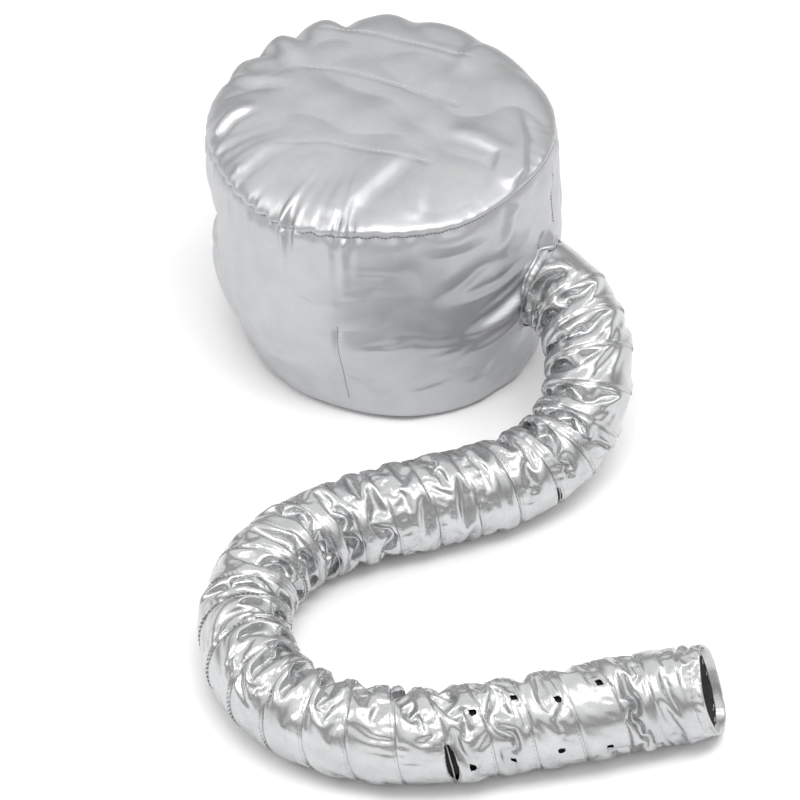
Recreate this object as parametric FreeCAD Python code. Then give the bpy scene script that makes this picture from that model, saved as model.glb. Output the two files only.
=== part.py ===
"""Soft bonnet of a hair dryer: a two-layer cloth hood with an elastic hem, and the wired cloth air hose sewn to it.

Millimetres. The hood stands on its hem at z = 0 with its axis on Z. The hose leaves its right front side, comes
down to the table and lies on it in an S. Stations are distances along the hose from the first point of its route.
"""

import FreeCAD
import Part
import math
import os

Vec = FreeCAD.Vector
UP = Vec(0, 0, 1)
ORIGIN = Vec(0, 0, 0)

# Cloth
CLOTH = 0.8          # one layer with its seam allowance
THREAD_R = 0.25      # sewing thread
THREAD_LIFT = 0.1    # between a thread and the cloth it lies on
TAPE_WIDE = 8.0      # binding tape
LINER_GAP = 3.0      # air gap between the outer cloth and the liner

# Hood, as radius and height
SEAM_R, SEAM_Z = 144.0, 206.0      # crown seam
BULGE_R, BULGE_Z = 147.0, 120.0    # widest part of the wall
FOLD_R, FOLD_Z = 136.0, 22.0       # where the wall starts to tuck under
SOLE_R, SOLE_END_R = 122.0, 112.0  # ring of tucked cloth that lies flat on the table
BUTT_GAP = 1.0                     # between the edges that the crown seam joins
SHOULDER_R, SHOULDER_Z = 126.0, 221.0
CROWN_TOP_Z = 233.0

# Hem
HEM_R = 100.0                      # opening, elastic relaxed
HEM_LOW_Z, HEM_HIGH_Z = 3.5, 24.0
CHANNEL = 3.6                      # room for the elastic inside its casing
ELASTIC_THICK, ELASTIC_WIDE = 1.6, 16.0

# Liner air holes
AIR_HOLE_R = 3.0
WALL_HOLE_ROWS_Z = (70.0, 110.0, 150.0)
WALL_HOLES_PER_ROW = 16
CROWN_HOLE_RINGS = ((45.0, 6), (90.0, 12))

# Sewing
DART_AZIMUTHS = (-104.0, 166.0, 76.0)
DART_LOW_Z, DART_HIGH_Z = 26.0, 117.0
SIDE_SEAM_AZIMUTH, SIDE_SEAM_LOW_Z, SIDE_SEAM_HIGH_Z = -17.0, 148.0, 200.0
QUILT_ROWS = (
    ((-50, 110), (-24, 106), (73, 72)),
    ((-66, 55), (-40, 53), (17, 29), (64, 5)),
    ((-84, -44), (-43, -44), (-5, -58), (41, -69)),
)
STITCH, STITCH_PITCH = 4.0, 6.5

# Hose
HOSE_R = 37.5
HOSE_Z = 39.0                      # its axis where it lies on the table
WIRE_R = 0.6
WIRE_PITCH = 34.0
ARC_SHARE = 0.45                   # of the shorter run, taken by each rounded corner
ROUTE = [
    (125, -61, 104), (144, -79, 103), (158, -101, 98), (166, -126, 90), (168, -151, 78), (164, -176, 64),
    (152, -200, 50), (132, -223, 42), (105, -242, HOSE_Z), (72, -259, HOSE_Z), (31, -274, HOSE_Z),
    (-19, -292, HOSE_Z), (-65, -317, HOSE_Z), (-98, -356, HOSE_Z), (-113, -405, HOSE_Z),
    (-109, -457, HOSE_Z), (-84, -503, HOSE_Z), (-38, -534, HOSE_Z), (16, -544, HOSE_Z),
    (72, -537, HOSE_Z), (132, -522, HOSE_Z), (193, -505, HOSE_Z), (252, -492, HOSE_Z),
]

# Hose stations
COLLAR_START, COLLAR_END = -9.0, 14.0
ROOT_END = 46.0                    # soft stretch that turns at the hood
FIRST_JOIN = 262.0                 # upper sleeve meets middle sleeve
BEND_START, BEND_END = 470.0, 514.0
SECOND_JOIN = 742.0                # lower sleeve meets the vented one
VENTED_END = 908.0
CUFF_START = 948.0
FIRST_WIRE = 50.0

# Vents in the last sleeve: distance from its start, and angle round the hose from its top
VENT_R = 3.0
VENT_PITCH = 36.0
VENT_ROWS_DEG = (-105.0, -23.0, 55.0)
VENTS_PER_ROW = 4
VENT_FIRST = 30.0

# Cuff
CUFF_R = 36.5
CUFF_LINING_R = 34.0               # its opening
CUFF_ELASTIC_THICK, CUFF_ELASTIC_WIDE = 0.6, 8.0


def save(name, shape):
    if not shape.isValid():
        raise ValueError(name + " is not a valid shape")
    shape.exportStep("parts/" + name + ".step")


def ring(axis_point, direction, r_out, r_in, length):
    """A round tube from axis_point along direction."""
    outer = Part.makeCylinder(r_out, length, axis_point, direction)
    return outer.cut(Part.makeCylinder(r_in, length, axis_point, direction))


def profile_point(r, z):
    return Vec(r, 0, z)


def arc(a, b, c):
    return Part.Arc(a, b, c).toShape()


def line(a, b):
    return Part.LineSegment(a, b).toShape()


def spun(edges):
    """The solid that a closed outline in the XZ plane makes when it turns about Z."""
    return Part.Face(Part.Wire(edges)).revolve(ORIGIN, UP, 360)


# ---- hood -----------------------------------------------------------------------------------------------


def wall_arc_points(inset):
    """Three points of the wall's arc, inset from the outer face."""
    return [
        profile_point(SEAM_R - inset, SEAM_Z - BUTT_GAP / 2),
        profile_point(BULGE_R - inset, BULGE_Z),
        profile_point(FOLD_R - inset, FOLD_Z),
    ]


def wall_point(azimuth, z, lift):
    """A point on the outer wall, lifted off it."""
    top, middle, low = wall_arc_points(-lift)
    circle = arc(top, middle, low).Curve
    centre, radius = circle.Center, circle.Radius
    r = centre.x + math.sqrt(radius**2 - (z - centre.z) ** 2)
    a = math.radians(azimuth)
    return Vec(r * math.cos(a), r * math.sin(a), z)


def wall_panel():
    """The wall, tucked under at its foot and lying flat up to the hem."""
    out = wall_arc_points(0)
    inn = wall_arc_points(CLOTH)
    tuck_out = profile_point(FOLD_R - 2.6, 7.4)
    tuck_in = profile_point(FOLD_R - 3.4, 7.9)
    sole_out = profile_point(SOLE_R, 0)
    sole_in = profile_point(SOLE_R, CLOTH)
    sole_end_out = profile_point(SOLE_END_R, 0)
    sole_end_in = profile_point(SOLE_END_R, CLOTH)
    edge_r = HEM_R + CHANNEL + 2 * CLOTH + 0.4
    edge_out = profile_point(edge_r, HEM_LOW_Z - CLOTH)
    edge_in = profile_point(edge_r, HEM_LOW_Z)
    return spun([
        arc(*out),
        arc(out[2], tuck_out, sole_out),
        line(sole_out, sole_end_out),
        line(sole_end_out, edge_out),
        line(edge_out, edge_in),
        line(edge_in, sole_end_in),
        line(sole_end_in, sole_in),
        arc(sole_in, tuck_in, inn[2]),
        arc(inn[2], inn[1], inn[0]),
        line(inn[0], out[0]),
    ])


def dome(inset, rim_r, rim_z):
    """The crown's shape: a shallow ball cap with a rounded shoulder, as the outline from the axis to the rim."""
    ball_r = (SHOULDER_R**2 + (CROWN_TOP_Z - SHOULDER_Z) ** 2) / (2 * (CROWN_TOP_Z - SHOULDER_Z))
    centre_z = CROWN_TOP_Z - ball_r
    r = ball_r - inset

    def on_ball(x):
        return profile_point(x, centre_z + math.sqrt(r**2 - x**2))

    shoulder = on_ball(SHOULDER_R - 0.1 * inset)
    rim = profile_point(rim_r - inset, rim_z)
    hip = profile_point(SEAM_R - 4.2 - 0.8 * inset, rim_z + 9.0 - 0.5 * inset)
    return [on_ball(0), on_ball(SHOULDER_R / 2), shoulder, hip, rim]


def dome_shell(inset, rim_r, rim_z):
    out = dome(inset, rim_r, rim_z)
    inn = dome(inset + CLOTH, rim_r, rim_z)
    return spun([
        arc(out[0], out[1], out[2]),
        arc(out[2], out[3], out[4]),
        line(out[4], inn[4]),
        arc(inn[4], inn[3], inn[2]),
        arc(inn[2], inn[1], inn[0]),
        line(inn[0], out[0]),
    ])


def crown_panel():
    return dome_shell(0, SEAM_R, SEAM_Z + BUTT_GAP / 2)


def crown_liner():
    shell = dome_shell(CLOTH + LINER_GAP, SEAM_R, SEAM_Z + 2)
    holes = []
    for ring_r, count in CROWN_HOLE_RINGS:
        for n in range(count):
            a = 2 * math.pi * n / count
            foot = Vec(ring_r * math.cos(a), ring_r * math.sin(a), SEAM_Z)
            holes.append(Part.makeCylinder(AIR_HOLE_R, CROWN_TOP_Z - SEAM_Z, foot, UP))
    return shell.cut(Part.makeCompound(holes))


def wall_liner():
    inset = CLOTH + LINER_GAP
    out = wall_arc_points(inset)
    inn = wall_arc_points(inset + CLOTH)
    shell = spun([arc(*out), line(out[2], inn[2]), arc(inn[2], inn[1], inn[0]), line(inn[0], out[0])])
    holes = []
    for z in WALL_HOLE_ROWS_Z:
        for n in range(WALL_HOLES_PER_ROW):
            a = 2 * math.pi * (n + 0.5) / WALL_HOLES_PER_ROW
            out_way = Vec(math.cos(a), math.sin(a), 0)
            holes.append(Part.makeCylinder(AIR_HOLE_R, 20, out_way * (BULGE_R - 15) + UP * z, out_way))
    return shell.cut(Part.makeCompound(holes))


def crown_seam_tape():
    """Binding tape over the raw edges, inside the crown seam."""
    r_out = SEAM_R - CLOTH - 1.4
    return ring(Vec(0, 0, SEAM_Z - TAPE_WIDE / 2), UP, r_out, r_out - CLOTH, TAPE_WIDE)


def hem_casing():
    """Cloth folded over the elastic, open at the bottom where it is sewn to the wall's edge."""
    r_out = HEM_R + CHANNEL + 2 * CLOTH
    casing = ring(Vec(0, 0, HEM_LOW_Z), UP, r_out, HEM_R, HEM_HIGH_Z - HEM_LOW_Z)
    room = ring(Vec(0, 0, HEM_LOW_Z), UP, r_out - CLOTH, HEM_R + CLOTH, HEM_HIGH_Z - CLOTH - HEM_LOW_Z)
    return casing.cut(room)


def hem_elastic():
    r_in = HEM_R + CLOTH + (CHANNEL - ELASTIC_THICK) / 2
    low = HEM_LOW_Z + (HEM_HIGH_Z - CLOTH - HEM_LOW_Z - ELASTIC_WIDE) / 2
    return ring(Vec(0, 0, low), UP, r_in + ELASTIC_THICK, r_in, ELASTIC_WIDE)


def hem_thread():
    """The row that holds the casing to the wall's edge."""
    return Part.makeTorus(HEM_R + CHANNEL + 2 * CLOTH + 4.0, THREAD_R, Vec(0, 0, HEM_LOW_Z + 0.6), UP)


def crown_seam_thread():
    return Part.makeTorus(SEAM_R + 0.2, THREAD_R, Vec(0, 0, SEAM_Z), UP)


def meridian_thread(azimuth, low_z, high_z):
    """A row of sewing up the wall."""
    lift = THREAD_R + THREAD_LIFT
    a = wall_point(azimuth, low_z, lift)
    b = wall_point(azimuth, (low_z + high_z) / 2, lift)
    c = wall_point(azimuth, high_z, lift)
    row = arc(a, b, c)
    section = Part.Wire(Part.makeCircle(THREAD_R, a, row.tangentAt(row.FirstParameter)))
    return Part.Wire(row).makePipeShell([section], True, False)


def dart_threads():
    return Part.makeCompound([meridian_thread(a, DART_LOW_Z, DART_HIGH_Z) for a in DART_AZIMUTHS])


def quilt_threads():
    """Rows of separate stitches across the crown, through both layers."""
    ball_r = (SHOULDER_R**2 + (CROWN_TOP_Z - SHOULDER_Z) ** 2) / (2 * (CROWN_TOP_Z - SHOULDER_Z))
    ball_centre = Vec(0, 0, CROWN_TOP_Z - ball_r)
    lift = ball_r + THREAD_R + THREAD_LIFT
    stitches = []
    for row in QUILT_ROWS:
        for first, last in zip(row, row[1:]):
            run = Vec(last[0] - first[0], last[1] - first[1], 0)
            for n in range(int(run.Length / STITCH_PITCH)):
                flat = Vec(first[0], first[1], 0) + run * ((n + 0.5) * STITCH_PITCH / run.Length)
                out = Vec(flat.x, flat.y, math.sqrt(lift**2 - flat.x**2 - flat.y**2)).normalize()
                way = (run - out * run.dot(out)).normalize()
                middle = ball_centre + out * lift
                stitches.append(Part.makeCylinder(THREAD_R, STITCH, middle - way * (STITCH / 2), way))
    return Part.makeCompound(stitches)


# ---- hose route -----------------------------------------------------------------------------------------


def rounded_route():
    """The route as straight runs joined by tangent arcs: (kind, length, data) pieces in order."""
    points = [Vec(*p) for p in ROUTE]
    pieces = []
    here = points[0]
    for n in range(1, len(points) - 1):
        corner = points[n]
        into, out = corner - points[n - 1], points[n + 1] - corner
        turn = into.getAngle(out)
        cut = ARC_SHARE * min(into.Length, out.Length)
        radius = cut / math.tan(turn / 2)
        u, v = Vec(into).normalize(), Vec(out).normalize()
        start, end = corner - u * cut, corner + v * cut
        normal = u.cross(v).normalize()
        centre = start + normal.cross(u) * radius
        pieces.append(("run", (start - here).Length, (here, u)))
        pieces.append(("arc", radius * turn, (centre, start - centre, normal, radius)))
        print("corner %d: turn %.1f degrees, radius %.0f mm" % (n, math.degrees(turn), radius))
        here = end
    last = points[-1] - here
    pieces.append(("run", last.Length, (here, Vec(last).normalize())))
    return pieces


PIECES = rounded_route()
HOSE_LENGTH = sum(p[1] for p in PIECES)


def on_piece(piece, s):
    """Point and direction at a distance s along one piece."""
    kind, _, data = piece
    if kind == "run":
        start, way = data
        return start + way * s, way
    centre, arm, normal, radius = data
    turned = FreeCAD.Rotation(normal, math.degrees(s / radius)).multVec(arm)
    return centre + turned, normal.cross(turned).normalize()


def on_route(s):
    """Point and direction at a station; stations before the first point go straight back."""
    for piece in PIECES:
        if s <= piece[1]:
            return on_piece(piece, s)
        s -= piece[1]
    return on_piece(PIECES[-1], PIECES[-1][1] + s)


def route_wire(s0, s1):
    edges = []
    begin = 0.0
    for piece in PIECES:
        a, b = max(s0 - begin, 0.0), min(s1 - begin, piece[1])
        begin += piece[1]
        if b - a < 0.01:
            continue
        pa, pb = on_piece(piece, a)[0], on_piece(piece, b)[0]
        if piece[0] == "run":
            edges.append(line(pa, pb))
        else:
            edges.append(arc(pa, on_piece(piece, (a + b) / 2)[0], pb))
    return Part.Wire(edges)


def swept(s0, s1, radius):
    point, way = on_route(s0)
    section = Part.Wire(Part.makeCircle(radius, point, way))
    return route_wire(s0, s1).makePipeShell([section], True, False)


def sleeve(s0, s1):
    """A cloth tube along the route, and a check of its volume against section times length."""
    tube = swept(s0, s1, HOSE_R).cut(swept(s0, s1, HOSE_R - CLOTH))
    expected = math.pi * (HOSE_R**2 - (HOSE_R - CLOTH) ** 2) * (s1 - s0)
    print("sleeve %.0f to %.0f: volume %.4f of section times length" % (s0, s1, tube.Volume / expected))
    return tube


def wire_stations(s0, s1):
    count = int((HOSE_LENGTH - FIRST_WIRE) / WIRE_PITCH) + 1
    stations = [FIRST_WIRE + n * WIRE_PITCH for n in range(count)]
    return [s for s in stations if s0 + 2 < s < s1 - 2]


def hoops(s0, s1, ring_r, round_r):
    """One round hoop at each turn of the wire."""
    made = []
    for s in wire_stations(s0, s1):
        point, way = on_route(s)
        made.append(Part.makeTorus(ring_r, round_r, point, way))
    return Part.makeCompound(made)


def wire_hoops(s0, s1):
    return hoops(s0, s1, HOSE_R - CLOTH - WIRE_R - 0.2, WIRE_R)


def wire_threads(s0, s1):
    return hoops(s0, s1, HOSE_R + THREAD_R + THREAD_LIFT, THREAD_R)


def vented_sleeve():
    tube = sleeve(SECOND_JOIN, VENTED_END)
    holes = []
    for angle in VENT_ROWS_DEG:
        for n in range(VENTS_PER_ROW):
            point, way = on_route(SECOND_JOIN + VENT_FIRST + n * VENT_PITCH)
            out_way = FreeCAD.Rotation(way, angle).multVec(UP)
            holes.append(Part.makeCylinder(VENT_R, 20, point + out_way * (HOSE_R - 10), out_way))
    return tube.cut(Part.makeCompound(holes))


def join_tape(station):
    """Tape inside the hose, over the butted ends of two sleeves."""
    point, way = on_route(station - TAPE_WIDE / 2)
    r_out = HOSE_R - CLOTH - 0.3
    return ring(point, way, r_out, r_out - CLOTH, TAPE_WIDE)


# ---- inlet and cuff -------------------------------------------------------------------------------------


def inlet_bore(radius):
    """The round way through both walls for the hose."""
    point, way = on_route(0)
    return Part.makeCylinder(radius, 60, point - way * 30, way)


def inlet_collar():
    point, way = on_route(0)
    return ring(point + way * COLLAR_START, way, HOSE_R, HOSE_R - 2 * CLOTH, COLLAR_END - COLLAR_START)


def inlet_thread():
    """The row of sewing inside the collar."""
    point, way = on_route(COLLAR_END - 3)
    return Part.makeTorus(HOSE_R - 2 * CLOTH - THREAD_R - THREAD_LIFT, THREAD_R, point, way)


def cuff_ring(s0, r_out, r_in, length):
    point, way = on_route(s0)
    return ring(point, way, r_out, r_in, length)


def cuff_shell():
    return cuff_ring(CUFF_START, CUFF_R, CUFF_R - CLOTH, HOSE_LENGTH - CUFF_START)


def cuff_lining():
    return cuff_ring(CUFF_START + 1, CUFF_LINING_R + CLOTH, CUFF_LINING_R, HOSE_LENGTH - CUFF_START - 1)


def cuff_elastic():
    r_in = CUFF_LINING_R + CLOTH + 0.1
    start = HOSE_LENGTH - 4 - CUFF_ELASTIC_WIDE
    return cuff_ring(start, r_in + CUFF_ELASTIC_THICK, r_in, CUFF_ELASTIC_WIDE)


def cuff_threads():
    """Two rows round the hem of the cuff."""
    rows = []
    for back in (2.5, 15.0):
        point, way = on_route(HOSE_LENGTH - back)
        rows.append(Part.makeTorus(CUFF_R + THREAD_R + THREAD_LIFT, THREAD_R, point, way))
    return Part.makeCompound(rows)


def build():
    hole = inlet_bore(HOSE_R + 0.4)
    save("wall_panel", wall_panel().cut(hole))
    save("wall_liner", wall_liner().cut(hole))
    save("crown_panel", crown_panel())
    save("crown_liner", crown_liner())
    save("crown_seam_tape", crown_seam_tape())
    save("crown_seam_thread", crown_seam_thread())
    save("crown_quilt_threads", quilt_threads())
    save("side_seam_thread", meridian_thread(SIDE_SEAM_AZIMUTH, SIDE_SEAM_LOW_Z, SIDE_SEAM_HIGH_Z))
    save("dart_threads", dart_threads())
    save("hem_casing", hem_casing())
    save("hem_elastic", hem_elastic())
    save("hem_thread", hem_thread())
    save("inlet_collar", inlet_collar())
    save("inlet_thread", inlet_thread())

    save("hose_root_sleeve", sleeve(COLLAR_END, ROOT_END))
    save("hose_upper_sleeve", sleeve(ROOT_END, FIRST_JOIN))
    save("hose_middle_sleeve", sleeve(FIRST_JOIN, BEND_START))
    save("hose_bend_sleeve", sleeve(BEND_START, BEND_END))
    save("hose_lower_sleeve", sleeve(BEND_END, SECOND_JOIN))
    save("hose_vented_sleeve", vented_sleeve())
    save("hose_stretch_sleeve", sleeve(VENTED_END, CUFF_START))
    save("hose_join_tape_1", join_tape(FIRST_JOIN))
    save("hose_join_tape_2", join_tape(SECOND_JOIN))
    save("hose_wire_upper", wire_hoops(ROOT_END, BEND_START))
    save("hose_wire_lower", wire_hoops(BEND_END, VENTED_END))
    save("hose_thread_upper", wire_threads(ROOT_END, BEND_START))
    save("hose_thread_lower", wire_threads(BEND_END, VENTED_END))

    save("cuff_shell", cuff_shell())
    save("cuff_lining", cuff_lining())
    save("cuff_elastic", cuff_elastic())
    save("cuff_threads", cuff_threads())

    print("hose length %.1f mm" % HOSE_LENGTH)
    for name, s in (("root pivot", (COLLAR_END + ROOT_END) / 2), ("bend pivot", (BEND_START + BEND_END) / 2),
                    ("cuff start", CUFF_START), ("mouth", HOSE_LENGTH)):
        point, way = on_route(s)
        print(name, [round(x, 3) for x in point], [round(x, 6) for x in way])


os.makedirs("parts", exist_ok=True)
build()
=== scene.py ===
"""Looks of the soft bonnet and its air hose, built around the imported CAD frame. Metres.

Each cloth is a grid of points joined by links. A coarse grid finds the large folds, finer ones the small.
"""

import math

import bpy
import numpy as np
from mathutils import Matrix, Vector
from mathutils.bvhtree import BVHTree


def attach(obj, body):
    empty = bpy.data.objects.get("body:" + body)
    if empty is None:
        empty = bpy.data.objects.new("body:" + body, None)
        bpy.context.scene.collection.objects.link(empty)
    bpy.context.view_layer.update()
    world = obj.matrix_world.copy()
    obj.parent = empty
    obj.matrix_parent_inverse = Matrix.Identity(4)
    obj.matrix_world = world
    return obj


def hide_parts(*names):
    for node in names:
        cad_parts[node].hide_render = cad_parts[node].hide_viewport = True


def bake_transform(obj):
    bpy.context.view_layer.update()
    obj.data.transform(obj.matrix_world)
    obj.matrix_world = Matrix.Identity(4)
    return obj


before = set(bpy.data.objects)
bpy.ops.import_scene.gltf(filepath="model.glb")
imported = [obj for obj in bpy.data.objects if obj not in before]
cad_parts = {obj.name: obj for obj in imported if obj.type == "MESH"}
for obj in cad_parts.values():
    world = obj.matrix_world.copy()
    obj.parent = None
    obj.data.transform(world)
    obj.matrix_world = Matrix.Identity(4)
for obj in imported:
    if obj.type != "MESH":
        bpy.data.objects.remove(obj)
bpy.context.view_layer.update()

TAU = 2 * math.pi

# Hose route: the CAD route's points, a little lower on the table because the cloth sags onto it
LAID = 0.0378
ROUTE = [
    (0.125, -0.061, 0.104), (0.144, -0.079, 0.103), (0.158, -0.101, 0.098), (0.166, -0.126, 0.090),
    (0.168, -0.151, 0.078), (0.164, -0.176, 0.064), (0.152, -0.200, 0.050), (0.132, -0.223, 0.0415),
    (0.105, -0.242, LAID), (0.072, -0.259, LAID), (0.031, -0.274, LAID), (-0.019, -0.292, LAID),
    (-0.065, -0.317, LAID), (-0.098, -0.356, LAID), (-0.113, -0.405, LAID), (-0.109, -0.457, LAID),
    (-0.084, -0.503, LAID), (-0.038, -0.534, LAID), (0.016, -0.544, LAID), (0.072, -0.537, LAID),
    (0.132, -0.522, LAID), (0.193, -0.505, LAID), (0.252, -0.492, LAID),
]
WIRE_R = 0.0364                # radius at the wire
PITCH = 0.0352                 # between turns of the wire, where the hose is straight
STRIP = 0.0371                 # length of cloth from turn to turn
FULLNESS = 1.012               # of the cloth's girth over the wire's
CROWD = 0.62                   # how far the turns crowd together in a bend
CHANNEL = 0.3                  # share of a turn that the doubled cloth over the wire takes
FLOOR, HOOD_FLOOR = 0.0006, 0.0008      # lowest that the cloth of the hose and of the hood comes
# Steps on the coarse grid and on each finer one.
HOSE_STEPS, HOOD_STEPS = (460, 40, 10), (240, 150, 60)


# ---- cloth ----


def between(rows):
    """The rows, with the mean of each two neighbours between them."""
    out = np.empty((len(rows) * 2 - 1, *rows.shape[1:]))
    out[::2] = rows
    out[1::2] = (rows[1:] + rows[:-1]) / 2
    return out


class Grid:
    """Rows and columns of points. With a shift, the last column joins the first column shift rows on."""

    def __init__(self, rows, columns, shift=None):
        self.rows, self.columns, self.shift = rows, columns, shift
        row, col = np.meshgrid(np.arange(rows), np.arange(columns), indexing="ij")
        self.row, self.col = row.ravel(), col.ravel()

    def vertex(self, row, col):
        """Index of the vertex there, and whether it exists."""
        if self.shift is not None:
            rounds = col // self.columns
            row, col = row + rounds * self.shift, col % self.columns
        inside = (row >= 0) & (row < self.rows) & (col >= 0) & (col < self.columns)
        return np.where(inside, row * self.columns + col, 0), inside

    def pairs(self, d_row, d_col):
        """Vertices a and those d_row, d_col on from them, b, in groups that repeat no vertex."""
        step = abs(d_row) if d_row else abs(d_col)
        parity = (self.row if d_row else self.col) // step % 2
        for side in (0, 1):
            a = np.nonzero(parity == side)[0]
            b, inside = self.vertex(self.row[a] + d_row, self.col[a] + d_col)
            yield a[inside], b[inside]

    def quads(self):
        here = np.arange(self.rows * self.columns)
        beside, ok1 = self.vertex(self.row, self.col + 1)
        across, ok2 = self.vertex(self.row + 1, self.col + 1)
        ahead, ok3 = self.vertex(self.row + 1, self.col)
        return np.stack([here, beside, across, ahead], 1)[ok1 & ok2 & ok3]

    def finer(self):
        if self.shift is None:
            return Grid(self.rows * 2 - 1, self.columns * 2 - 1)
        return Grid(self.rows * 2 - 1, self.columns * 2, self.shift * 2)

    def refine(self, x):
        """Positions on the grid twice as fine."""
        wide = between(x.reshape(self.rows, self.columns, -1))
        if self.shift is not None:
            last = np.minimum(np.arange(len(wide)) + self.shift * 2, len(wide) - 1)
            wide = np.concatenate([wide, wide[last, :1]], 1)
        wide = between(wide.swapaxes(0, 1)).swapaxes(0, 1)
        if self.shift is not None:
            wide = wide[:, :-1]
        return wide.reshape(-1, x.shape[1])


class Cloth:
    """Points joined by links, brought to rest by position-based dynamics."""

    def __init__(self, points, held):
        self.x = points.copy()
        self.free = np.where(held, 0.0, 1.0)
        self.links = []

    def link(self, a, b, rest, pull=1.0, push=1.0):
        """pull and push are the shares of a stretch and of a squeeze that one step takes out."""
        keep = (self.free[a] + self.free[b]) > 0
        a, b, rest = a[keep], b[keep], rest[keep]
        total = self.free[a] + self.free[b]
        self.links.append((a, b, rest, pull, push, self.free[a] / total, self.free[b] / total))

    def weave(self, grid, rest, stiff):
        """Threads both ways, a bias that gives, and stiffness against folding. rest(a, b) gives lengths."""
        threads = ((1, 0, 1.0, 0.9), (0, 1, 1.0, 0.9))
        bias = ((1, 1, 0.6, 0.5), (1, -1, 0.6, 0.5))
        folding = ((2, 0, 0.0, stiff), (0, 2, 0.0, stiff))
        for d_row, d_col, pull, push in threads + bias + folding:
            for a, b in grid.pairs(d_row, d_col):
                self.link(a, b, rest(a, b), pull, push)

    def relax(self, steps, force, limit, slow=0.9):
        """Moves the free points: each step carries on a share slow of the last one."""
        x = self.x
        old = x.copy()
        for _ in range(steps):
            drift = (x - old) * slow
            old = x.copy()
            x += (drift + force(x)) * self.free[:, None]
            for a, b, rest, pull, push, ma, mb in self.links:
                d = x[b] - x[a]
                span = np.sqrt((d * d).sum(1)) + 1e-12
                gap = (span - rest) / span
                gap *= np.where(gap > 0, pull, push)
                x[a] += d * (gap * ma)[:, None]
                x[b] -= d * (gap * mb)[:, None]
            limit(x)
        return x


def waves(seed, count, spans, *coords):
    """Smooth noise of unit size: waves in seeded directions, no shorter than spans along each coord."""
    rng = np.random.default_rng(seed)
    total = 0.0
    for _ in range(count):
        phase = rng.uniform(0, TAU)
        for c, span in zip(coords, spans):
            phase = phase + c * TAU / span * rng.uniform(-1, 1)
        total = total + np.cos(phase)
    return total * math.sqrt(2.0 / count)


def ripples(seed, count, low, high, angle):
    """Smooth noise of unit size round a ring, with low to high waves to the round."""
    rng = np.random.default_rng(seed)
    total = 0.0
    for _ in range(count):
        total = total + np.cos(rng.integers(low, high + 1) * angle + rng.uniform(0, TAU))
    return total * math.sqrt(2.0 / count)


def smooth(x, low, high):
    """0 below low, 1 above high, eased between."""
    t = np.clip((x - low) / (high - low), 0, 1)
    return t * t * (3 - 2 * t)


def unit(v):
    return v / (np.linalg.norm(v, axis=-1, keepdims=True) + 1e-12)


def sample(at, stations, values):
    """Rows of values at some places along a line, from their stations."""
    return np.stack([np.interp(at, stations, values[:, k]) for k in range(values.shape[1])], -1)


def on_ring(r, angle, z):
    """Points at radii r, angles and heights z about the hood's axis."""
    return np.stack([r * np.cos(angle), r * np.sin(angle), z], -1)


def ring_quads(count, sides, closed=True):
    """Quads between count rings of sides points each, and from the last to the first if closed."""
    i, k = np.meshgrid(np.arange(count if closed else count - 1), np.arange(sides), indexing="ij")
    i_next, k_next = (i + 1) % count, (k + 1) % sides
    corners = [i * sides + k, i * sides + k_next, i_next * sides + k_next, i_next * sides + k]
    return np.stack(corners, -1).reshape(-1, 4)


def normals(points, quads):
    """Vertex normals of a quad mesh."""
    n = np.cross(points[quads[:, 2]] - points[quads[:, 0]], points[quads[:, 3]] - points[quads[:, 1]])
    out = np.zeros_like(points)
    for k in range(4):
        for axis in range(3):
            out[:, axis] += np.bincount(quads[:, k], n[:, axis], minlength=len(points))
    return unit(out)


def mesh_piece(name, points, faces, material):
    """A piece from points and faces, without the points that no face uses or that a face has twice."""
    faces = [tuple(dict.fromkeys(int(v) for v in f)) for f in faces]
    faces = [f for f in faces if len(f) > 2]
    used = np.unique(np.concatenate([np.array(f) for f in faces]))
    new = np.zeros(len(points), int)
    new[used] = np.arange(len(used))
    mesh = bpy.data.meshes.new(name)
    mesh.from_pydata(np.asarray(points)[used].tolist(), [], [tuple(new[list(f)]) for f in faces])
    mesh.validate()
    mesh.polygons.foreach_set("use_smooth", [True] * len(mesh.polygons))
    mesh.materials.append(material)
    piece = bpy.data.objects.new(name, mesh)
    bpy.context.scene.collection.objects.link(piece)
    return piece


# ---- hose line ----


def nurbs_line(points):
    """The centreline that Blender's own NURBS curve makes of the route."""
    curve = bpy.data.curves.new("hose_line", "CURVE")
    curve.dimensions = "3D"
    spline = curve.splines.new("NURBS")
    spline.points.add(len(points) - 1)
    for point, place in zip(spline.points, points):
        point.co = (*place, 1)
    spline.order_u = 3
    spline.use_endpoint_u = True
    spline.resolution_u = 24
    holder = bpy.data.objects.new("hose_line", curve)
    mesh = bpy.data.meshes.new_from_object(holder)
    line = np.array([v.co for v in mesh.vertices])
    bpy.data.objects.remove(holder)
    bpy.data.meshes.remove(mesh)
    return line


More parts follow.
